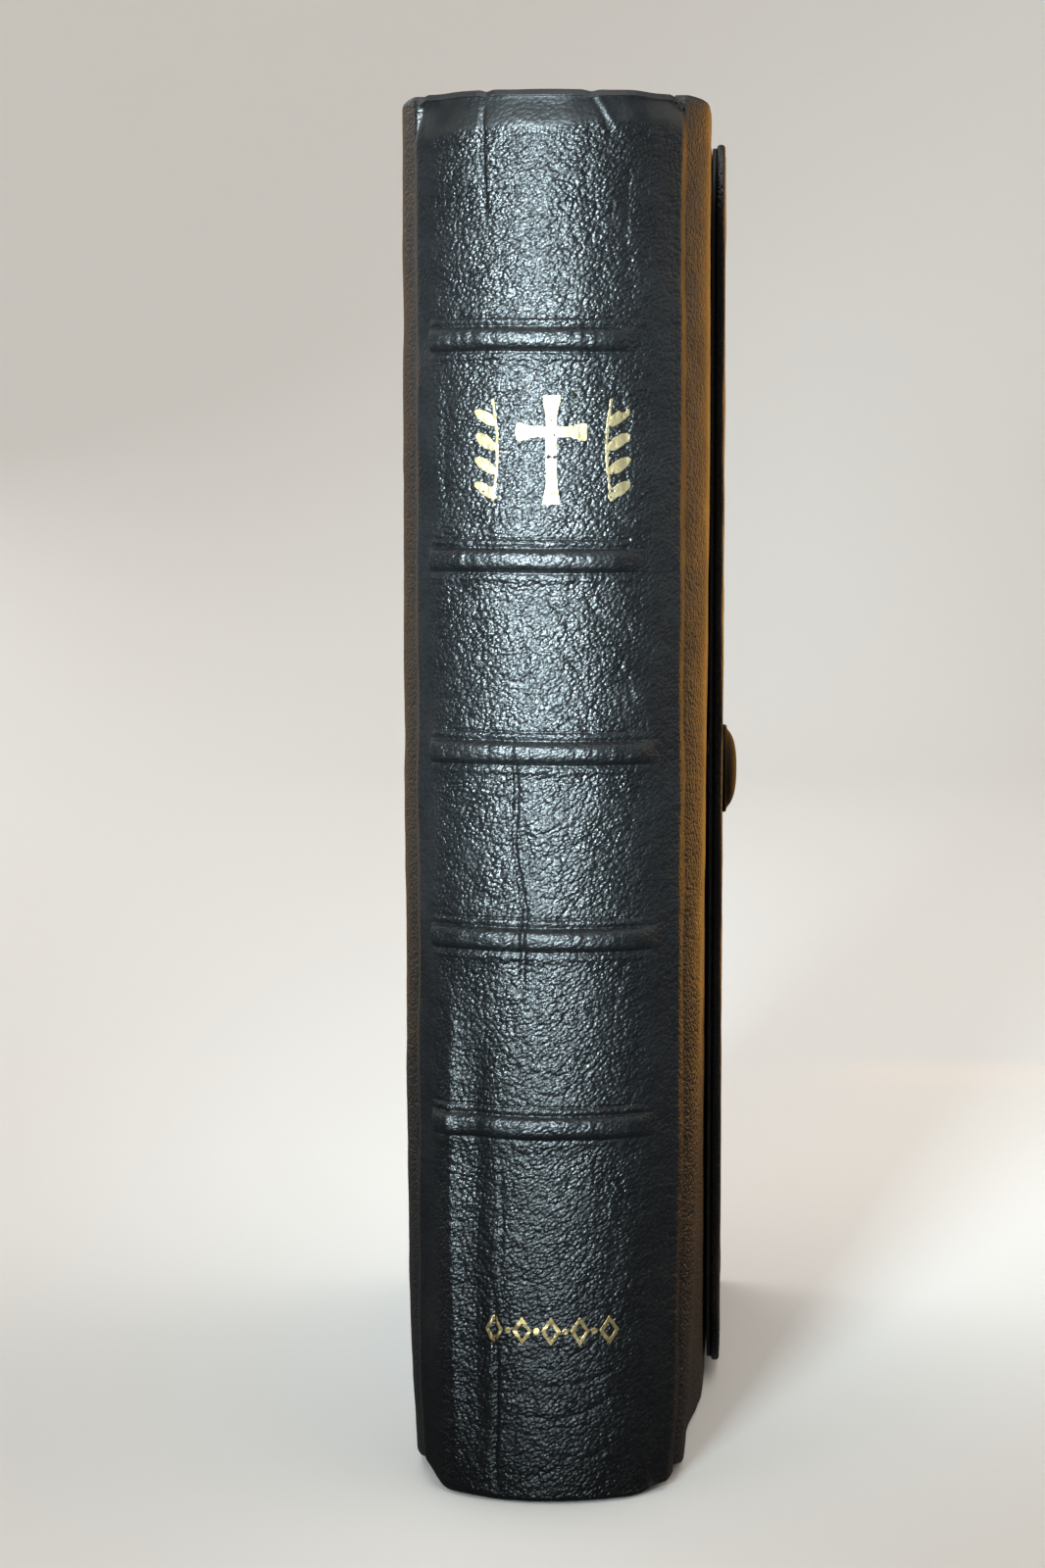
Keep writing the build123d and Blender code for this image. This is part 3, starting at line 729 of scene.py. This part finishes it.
def make_cover(side, name, body):
    """A cover's leather with its turned-in rim, and the board under it."""
    points, normals, outer, faces = slab(
        COVER_Y0, COVER_Y1, 0, HEIGHT, side * COVER_FACE, side * COVER_BACK,
        1.6, 6.0, 0.85, 0.45, step=0.52, turn=8.0, turn0=1.8, shape=cover_shape(side))
    relief, calm, wear = cover_relief(points, side)
    points = points + normals * (relief * outer)[:, None]
    lift = 1.7 if side > 0 else 2.6
    points[:, 2] += lift * ease(-points[:, 1], -17.0, -8.0) * ease(-points[:, 2], -16.0, 0.0)
    made = piece(f"{name}_cover_skin", points, faces, LEATHER, body, "black_leather",
                 calm=calm, wear=wear)
    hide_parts(f"{name}_cover_leather")
    low, high = local_box(f"{name}_board")
    inner, outer_x = (low[0], high[0]) if side > 0 else (high[0], low[0])
    points, _, _, faces = slab(
        low[1] + 1.5, high[1], low[2] + 0.6, high[2] - 0.4, outer_x - side * 0.35, inner,
        1.0, 5.2, 0.25, step=3.0, shape=cover_shape(side))
    made = piece(f"{name}_board_core", points, faces, BOARD, body, "board")
    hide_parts(f"{name}_board")


# ---------------------------------------------------------------- the flap
FLAP_TAPER = 0.55


def dress_flap(panel, points, normals, outer, faces, flat, sizes, seed, rim, worn):
    """The leather of a flap panel, uneven and worn along its rim."""
    relief = 0.04 * wave(flat, sizes[0], seed) + 0.08 * wave(flat, sizes[1], seed + 1)
    points = points + normals * (relief * outer)[:, None]
    made = piece(f"{panel}_skin", points, faces, FLAP_LEATHER, panel, "black_leather",
                 calm=0.5 * ease(-rim, -1.0, 0.0), wear=worn * ease(-rim, -0.9, 0.1))
    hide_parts(f"{panel}_leather")


def dress_lining(panel, points, faces):
    """The lining on the inner face of a flap panel."""
    made = piece(f"{panel}_facing", points, faces, LINING, panel, "flap_lining")
    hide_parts(f"{panel}_lining")


def make_front_flap():
    """The panel on the front cover and its lining."""
    low, high = local_box("flap_front_leather")
    points, normals, outer, faces = slab(
        low[1], high[1] - 0.4, low[2], high[2], high[0], low[0] - 0.02, 10.0, 1.2, 0.42, step=0.6,
        shape=lambda y, z: -FLAP_TAPER * ease(y, low[1] - 10, high[1] + 10))
    y, z = points[:, 1], points[:, 2]
    rim = np.minimum(np.minimum(z - low[2], high[2] - z), y - low[1])
    dress_flap("flap_front", points, normals, outer, faces, spread(y, z), (3.0, 11.0), 51, rim, 0.5)
    low, high = local_box("flap_front_lining")
    points, _, _, faces = slab(
        low[1] + 0.4, high[1] - 0.4, low[2] + 0.4, high[2] - 0.4, low[0], high[0], 9.6, 1.2, 0.15,
        step=2.0)
    dress_lining("flap_front", points, faces)


def turned_slab(*arguments, **named):
    """A slab that faces +y or -y in place of +x or -x."""
    points, normals, outer, faces = slab(*arguments, **named)
    return points[:, (1, 0, 2)], normals[:, (1, 0, 2)], outer, [f[::-1] for f in faces]


def make_side_flap():
    """The panel over the fore-edge and its lining."""
    low, high = local_box("flap_side_leather")
    points, normals, outer, faces = turned_slab(
        low[0] + 0.3, high[0] - 0.2, low[2], high[2], high[1], low[1] - 0.02, 1.2, 1.2, 0.42)
    rim = np.minimum(points[:, 2] - low[2], high[2] - points[:, 2])
    dress_flap("flap_side", points, normals, outer, faces, points, (3.0, 9.0), 53, rim, 0.4)
    low, high = local_box("flap_side_lining")
    points, _, _, faces = turned_slab(
        low[0] + 0.3, high[0] - 0.2, low[2] + 0.4, high[2] - 0.4, low[1], high[1], 1.2, 1.2, 0.15,
        step=2.0)
    dress_lining("flap_side", points, faces)


def bend_path(centre, radius, start, stop, before, after):
    """A straight run, an arc about centre from start down to stop (degrees), and a straight run."""
    a = np.radians(np.linspace(start, stop, 14))
    arc = np.column_stack([centre[0] + radius * np.cos(a), centre[1] + radius * np.sin(a)])
    first, final = (np.array([sin(turn), -cos(turn)]) for turn in (a[0], a[-1]))
    head = [arc[0] - first * d for d in np.linspace(before, before / 6, 6)]
    foot = [arc[-1] + final * d for d in np.linspace(after / 6, after, 6)]
    line = np.concatenate([head, arc, foot])
    normal = np.concatenate([[(cos(a[0]), sin(a[0]))] * 6, np.column_stack([np.cos(a), np.sin(a)]),
                             [(cos(a[-1]), sin(a[-1]))] * 6])
    return np.column_stack([line, normal])


def make_fold(name, path, thick, low, high):
    """A bent strip of lined leather that laps over the two panels it joins."""
    lap = np.full(len(path), 0.02)
    lap[[0, 1, -2, -1]] = (-0.06, 0.0, 0.0, -0.06)
    points, normals, outer, faces = sleeve(
        lapped(path, lap), low, high, thick, np.linspace(0, 1, 230))
    relief = 0.04 * wave(points, 3.0, 55) + 0.05 * wave(points, 9.0, 56)
    fade = ease(lap, -0.06, 0.02)[:, None]
    points = points + normals * (relief * outer * fade)[..., None]
    rim = np.minimum(points[..., 2] - low, high - points[..., 2])
    made = piece(name, points, faces, FLAP_LEATHER, None, "black_leather",
                 calm=0.5 * ease(-rim, -1.0, 0.0), wear=0.25 + 0.35 * ease(-rim, -0.9, 0.1))
    inside = outer.ravel() == 0
    made.data.materials.append(LINING)
    for face in made.data.polygons:
        if len(face.vertices) == 4 and all(inside[v] for v in face.vertices):
            face.material_index = 1
    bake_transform(made)


def make_flap():
    make_front_flap()
    make_side_flap()
    low, high = local_box("flap_front_leather")
    face, side_face = high[0] - FLAP_TAPER * 0.93, local_box("flap_side_leather")[1][1]
    fold = bend_path((face - 1.9, side_face - 1.9), 1.9, 90, 0, 1.6, 2.2)
    make_fold("flap_fold_skin", fold, 1.1, low[2], high[2])
    root = bend_path((-COVER_FACE + 2.2, side_face - 2.2), 2.2, 180, 90, 2.6, 1.6)
    make_fold("flap_root_skin", root, 1.0, low[2], high[2])


# ---------------------------------------------------------------- leaves
def make_gathering(number, body):
    """A gathering as a pile of thin leaves whose ends don't quite line up."""
    name = f"gathering_{number:02d}"
    low, high = local_box(name)
    chance = np.random.RandomState(200 + number)
    count, middle = 20, (low[0] + high[0]) / 2
    pitch = (high[0] - low[0]) / count
    hollow = 3.5 / 11.8**2
    points, faces, kinds = [], [], []
    for leaf in range(count):
        x0 = low[0] + pitch * leaf + 0.006
        x1 = x0 + pitch * 0.84
        x = (x0 + x1) / 2
        fore = 90.0 + hollow * x * x + chance.uniform(-0.10, 0.04)
        fold = 0.5 * ((x - middle) / (high[0] - low[0]) * 2) ** 2
        back = low[1] + fold
        z0, z1 = low[2] + chance.uniform(0, 0.07), high[2] - chance.uniform(0, 0.07)
        run = np.concatenate([np.linspace(0, 14, 13), [25, 45, 65], [fore - back]])
        base = len(points)
        for y in run + back:
            points += [(x0, y, z0), (x1, y, z0), (x1, y, z1), (x0, y, z1)]
        for k in range(len(run) - 1):
            a = base + 4 * k
            for side, kind in enumerate((1, 0, 1, 0)):
                v, w = a + side, a + (side + 1) % 4
                faces.append([v, w, w + 4, v + 4])
                kinds.append(kind)
        last = base + 4 * (len(run) - 1)
        faces += [[base + 3, base + 2, base + 1, base], [last, last + 1, last + 2, last + 3]]
        kinds += [0, 1]
    made = piece(name + "_leaves", points, faces, PAPER, None, "leaves", smooth=False)
    made.data.materials.append(GILT_EDGE)
    made.data.polygons.foreach_set("material_index", kinds)
    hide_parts(name)
    if body == "spine":
        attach(made, body)
    else:
        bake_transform(made)


def make_endpapers(side, name):
    """The free flyleaf, and the hinge of the endpaper between it and the pastedown."""
    low, high = local_box(f"{name}_flyleaf")

    def sheet(label, x, run):
        path = np.array([(x, y, side, 0) for y in run])
        points, _, _, faces = sleeve(path, low[2], high[2], 0.1, np.linspace(0, 1, 24))
        if side < 0:
            faces = [f[::-1] for f in faces]
        return piece(f"{name}_{label}", points, faces, ENDPAPER, None, "endpaper")

    made = sheet("free_endpaper", (low[0] + high[0]) / 2 + side * 0.05, np.concatenate([
        np.linspace(low[1], low[1] + 14, 15), np.linspace(low[1] + 20, high[1], 12)]))
    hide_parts(f"{name}_flyleaf")
    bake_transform(made)
    made = sheet("endpaper_hinge", side * 12.17, np.linspace(6.9, 10.3, 14))
    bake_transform(made)


def make_leaves():
    moving = {1: "front_leaves_outer", 2: "front_leaves_middle", 3: "front_leaves_inner",
              10: "back_leaves_inner", 11: "back_leaves_middle", 12: "back_leaves_outer"}
    for number in range(1, 13):
        make_gathering(number, moving.get(number, "spine"))
    for side, name in ((1, "front"), (-1, "back")):
        make_endpapers(side, name)


def make_headband(node_name):
    """A core sewn over with silk in two colours."""
    low, high = local_box(node_name)
    middle, columns, rows = (low[2] + high[2]) / 2, 241, 14
    radius, half_angle = SPINE_RADIUS - 2.70, 36
    around = np.linspace(0, 2 * pi, rows, endpoint=False)
    a = np.radians(np.linspace(-half_angle, half_angle, columns))
    turns = 40
    twist = np.linspace(0, turns * 2 * pi, columns)
    bulge = 1 + 0.10 * np.abs(np.sin(twist[:, None] / 2 + 0.5 * np.cos(around)[None]))
    across = 0.48 * bulge * np.cos(around)
    up = 0.58 * bulge * np.sin(around)
    points = np.stack([(radius + across) * np.sin(a)[:, None],
                       SPINE_RADIUS - (radius + across) * np.cos(a)[:, None], middle + up], -1)
    faces = loop_faces(columns, rows)
    made = piece(node_name + "_silk", points, faces, SILK_A, "spine", "silk")
    made.data.materials.append(SILK_B)
    for face in made.data.polygons:
        column = face.vertices[0] // rows
        face.material_index = (column // 6) % 2
    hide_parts(node_name)


# ---------------------------------------------------------------- gilt tooling
def box_field(x, z, cx, cz, w, h):
    """Signed distance to a rectangle."""
    dx, dz = np.abs(x - cx) - w / 2, np.abs(z - cz) - h / 2
    return np.minimum(np.maximum(dx, dz), 0) + np.hypot(np.maximum(dx, 0), np.maximum(dz, 0))


def title_field(x, z, low, high):
    """A cross between two leaf sprigs."""
    centre, width, height = (low[0] + high[0]) / 2, 15.6, high[2] - low[2]
    middle, bar = (low[2] + high[2]) / 2, 1.1
    flare = 0.32 * ease(np.abs(z - middle), height * 0.28, height * 0.5)
    field = np.minimum(box_field(x, z, centre, middle, bar, height) - flare,
                       box_field(x, z, centre, middle + height / 6, height * 0.6, bar)
                       - 0.32 * ease(np.abs(x - centre), height * 0.15, height * 0.3))
    field = np.maximum(field, np.abs(z - middle) - height / 2)
    long, wide, steps = 2.6, 1.1, 4
    pitch = height / (steps + 0.5)
    for side in (-1, 1):
        stem = centre + side * (5.35 + 0.02 * (z - middle) ** 2)
        stalk = np.maximum(np.abs(x - stem) - 0.14, np.abs(z - middle) - height * 0.47)
        field = np.minimum(field, stalk)
        for step in range(steps):
            cx, cz = centre + side * (width - long) / 2, low[2] + pitch * (step + 0.6)
            turn = radians(side * 35)
            u = (x - cx) * cos(turn) + (z - cz) * sin(turn)
            v = -(x - cx) * sin(turn) + (z - cz) * cos(turn)
            leaf = (np.hypot(u / (long / 2), v / (wide / 2)) - 1) * wide / 2
            field = np.minimum(field, leaf)
    return field


def tail_field(x, z, low, high):
    """A row of lozenges and dots."""
    centre, middle, height = (low[0] + high[0]) / 2, (low[2] + high[2]) / 2, high[2] - low[2]
    count, pitch = 5, 14.5 / 5
    field = np.full(np.shape(x), 9.0)
    for k in range(count):
        cx = centre + (k - (count - 1) / 2) * pitch
        lozenge = (np.abs(x - cx) / 1.0 + np.abs(z - middle) / (height / 2) - 1) * 0.8
        field = np.minimum(field, np.maximum(lozenge, -0.36 - lozenge))
    for k in range(count - 1):
        cx = centre + (k - (count - 2) / 2) * pitch
        field = np.minimum(field, np.hypot(x - cx, z - middle) - 0.34)
    return field


def cut_cells(field, columns, rows):
    """The parts of a grid's cells where the field is negative, as polygons over shared points given
    by their places in the grid."""
    spots, index, polygons = [], {}, []

    def spot(key, place):
        if key not in index:
            index[key] = len(spots)
            spots.append(place)
        return index[key]

    for i in range(columns - 1):
        for j in range(rows - 1):
            ring = [(i, j), (i + 1, j), (i + 1, j + 1), (i, j + 1)]
            values = [field[c] for c in ring]
            if min(values) >= 0:
                continue
            polygon = []
            for k in range(4):
                a, b, fa, fb = ring[k], ring[(k + 1) % 4], values[k], values[(k + 1) % 4]
                if fa < 0:
                    polygon.append(spot(a, a))
                if (fa < 0) != (fb < 0):
                    t = fa / (fa - fb)
                    place = (a[0] + t * (b[0] - a[0]), a[1] + t * (b[1] - a[1]))
                    polygon.append(spot(tuple(sorted((a, b))), place))
            if len(polygon) > 2:
                polygons.append(polygon)
    return np.array(spots, float), polygons


FOIL_STEP, FOIL_THICK = 0.085, 0.06


def make_foil(node_name, field, seed, material, worn):
    """Gilt foil pressed into the grain, worn through in places."""
    low, high = local_box(node_name)
    step = FOIL_STEP
    xs = np.arange(low[0] - 0.4, high[0] + 0.4, step)
    zs = np.arange(low[2] - 0.3, high[2] + 0.3, step)
    x, z = np.meshgrid(xs, zs, indexing="ij")
    shape = field(x, z, low, high)
    flat = spread(x, z)
    shape = shape + 0.05 * wave(flat, 0.35, seed)
    loss = worn(x, z) + 0.55 * wave(flat, 0.9, seed + 1) + 0.45 * wave(flat, 0.3, seed + 2)
    shape = np.maximum(shape, 0.15 * (loss - 0.62))
    spots, polygons = cut_cells(shape, len(xs), len(zs))
    px, pz = xs[0] + spots[:, 0] * step, zs[0] + spots[:, 1] * step
    s = SPINE_RADIUS * np.arcsin(px / SPINE_RADIUS)
    path = spine_path(s)
    relief, _, _ = spine_relief(s, pz)
    lift = relief + 0.045
    points = np.column_stack([path[:, 0] + path[:, 2] * lift, path[:, 1] + path[:, 3] * lift, pz])
    made = piece(node_name + "_foil", points, polygons, material, "spine", "gilt")
    thick = made.modifiers.new("foil", "SOLIDIFY")
    thick.thickness = FOIL_THICK * MM
    thick.offset = -1
    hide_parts(node_name)


# ---------------------------------------------------------------- press stud
def make_lathe(name, profile, centre, material, body, slot, columns=64):
    """A turned piece round the x axis; profile is (radius, x) points from rim to crown."""
    y, z = centre
    points, faces = [], []
    for radius, x in profile[:-1]:
        for k in range(columns):
            a = 2 * pi * k / columns
            points.append((x, y + radius * cos(a), z + radius * sin(a)))
    top = len(points)
    points.append((profile[-1][1], y, z))
    for ring in range(len(profile) - 2):
        for k in range(columns):
            a, b = ring * columns + k, ring * columns + (k + 1) % columns
            faces.append([a, b, b + columns, a + columns])
    last = (len(profile) - 2) * columns
    faces += [[last + k, last + (k + 1) % columns, top] for k in range(columns)]
    faces.append(list(reversed(range(columns))))
    return piece(name, points, faces, material, body, slot)


def make_stud():
    low, high = local_box("snap_cap")
    centre = ((low[1] + high[1]) / 2, (low[2] + high[2]) / 2)
    radius, base, rise = (high[1] - low[1]) / 2, low[0] - 0.25, high[0] - low[0] + 0.15
    profile = [(radius - 0.5, base), (radius - 0.1, base + 0.04), (radius, base + 0.2),
               (radius, base + 0.42), (radius - 0.12, base + 0.58), (radius - 0.3, base + 0.62),
               (radius - 0.42, base + 0.60), (radius - 0.50, base + 0.70)]
    for a in np.radians(np.linspace(20, 90, 12)):
        profile.append(((radius - 0.42) * cos(a) ** 0.8 if a < 1.57 else 0.0,
                        base + 0.25 + (rise - 0.25) * sin(a)))
    made = make_lathe("snap_cap_dome", profile, centre, ENAMEL, "flap_front", "black_enamel")
    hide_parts("snap_cap")


# ---------------------------------------------------------------- stage and light
def make_stage():
    """A pale round floor that curves up into a wall on every side, unseen in reflections."""
    material, tree, shader = new_material("studio_paper")
    plug(tree, shader, {"Base Color": (0.80, 0.785, 0.76, 1), "Roughness": 0.9})
    flat, radius, wall, columns = 0.75, 0.65, 2.2, 96
    a = np.radians(np.linspace(0, 90, 20))
    line = [(0.25, 0.0), (0.5, 0.0)]
    line += [(flat + radius * np.sin(t), radius * (1 - np.cos(t))) for t in a]
    line.append((flat + radius, wall))
    points = [(0, 0, 0)]
    for r, z in line:
        points += [(r * cos(2 * pi * k / columns), r * sin(2 * pi * k / columns), z)
                   for k in range(columns)]
    faces = [(0, 1 + k, 1 + (k + 1) % columns) for k in range(columns)]
    for ring in range(len(line) - 1):
        base = 1 + ring * columns
        for k in range(columns):
            m = (k + 1) % columns
            faces.append((base + k, base + columns + k, base + columns + m, base + m))
    mesh = bpy.data.meshes.new("backdrop")
    mesh.from_pydata(points, [], faces)
    mesh.polygons.foreach_set("use_smooth", [True] * len(mesh.polygons))
    mesh.materials.append(material)
    made = place_object("backdrop", mesh)
    made.visible_glossy = False


def area_light(name, place, target, size, power, colour, spread=180):
    data = bpy.data.lights.new(name, "AREA")
    data.energy = power
    data.color = colour
    data.shape = "SQUARE"
    data.size = size
    data.spread = radians(spread)
    made = place_object(name, data)
    made.location = place
    made.rotation_mode = "QUATERNION"
    made.rotation_quaternion = (Vector(target) - Vector(place)).to_track_quat("-Z", "Y")
    made.visible_camera = False


def make_card(name, corners, colour):
    """A studio card seen only in glossy reflections; its back is black."""
    material, tree, shader = new_material(name)
    back = node(tree, "ShaderNodeNewGeometry").outputs["Backfacing"]
    plug(tree, shader, {"Base Color": (0, 0, 0, 1), "Emission Color": (*colour, 1),
                        "Emission Strength": sums(tree, "SUBTRACT", 1.0, back)})
    mesh = bpy.data.meshes.new(name)
    mesh.from_pydata([at(*corner) for corner in corners], [], [(0, 1, 2, 3)])
    mesh.materials.append(material)
    made = place_object(name, mesh)
    made.visible_camera = made.visible_diffuse = made.visible_shadow = False


def make_lights():
    """A cool key light on the spine, large soft lights, and the two cards the covers reflect."""
    world = bpy.data.worlds.new("studio")
    world.use_nodes = True
    tree = world.node_tree
    plug(tree, tree.nodes["Background"], {"Color": (1.0, 0.99, 0.97, 1), "Strength": 0.06})
    bpy.context.scene.world = world
    area_light("key", at(-62, -290, 128), at(-4, 0, 98), 0.055, 0.265, (0.74, 0.92, 1.0), spread=36)
    area_light("overhead", at(0, 50, 1700), at(0, 51, 0), 1.6, 15.0, (1.0, 0.985, 0.96))
    area_light("right_soft", at(650, 250, 420), at(15, 50, 70), 0.8, 1.4, (1.0, 0.93, 0.84))
    area_light("back_soft", at(-560, 620, 460), at(-15, 50, 70), 0.9, 2.2, (0.97, 0.98, 1.0))
    make_card("gold_card", [(38, 260, 1), (330, 260, 1), (330, 260, 200), (38, 260, 200)],
              (1.40, 0.63, 0.10))
    make_card("left_card", [(-240, 260, 1), (-60, 260, 1), (-60, 260, 185), (-240, 260, 185)],
              (0.42, 0.25, 0.09))


bpy.context.scene.view_settings.view_transform = "Standard"
make_spine_skin()
make_joint_skin(1, "front_joint_skin")
make_joint_skin(-1, "back_joint_skin")
make_cover(1, "front", "front_cover")
make_cover(-1, "back", "back_cover")
make_flap()
make_leaves()
make_headband("headband")
make_headband("tailband")
# The title takes the gilt copy darkened as painted shade against the key light's highlight.
make_foil("title_ornament", title_field, 61, FOIL_DIMMED_UNDER_KEY,
          lambda x, z: 0.30 * ease(x, 4.5, 8.5) + 0.1 * ease(-z, -104.0, -100.0))
make_foil("tail_ornament", tail_field, 65, FOIL, lambda x, z: 0.10 * ease(x, 3.0, 8.0))
make_stud()
dress_cad_nodes()
make_stage()
make_lights()
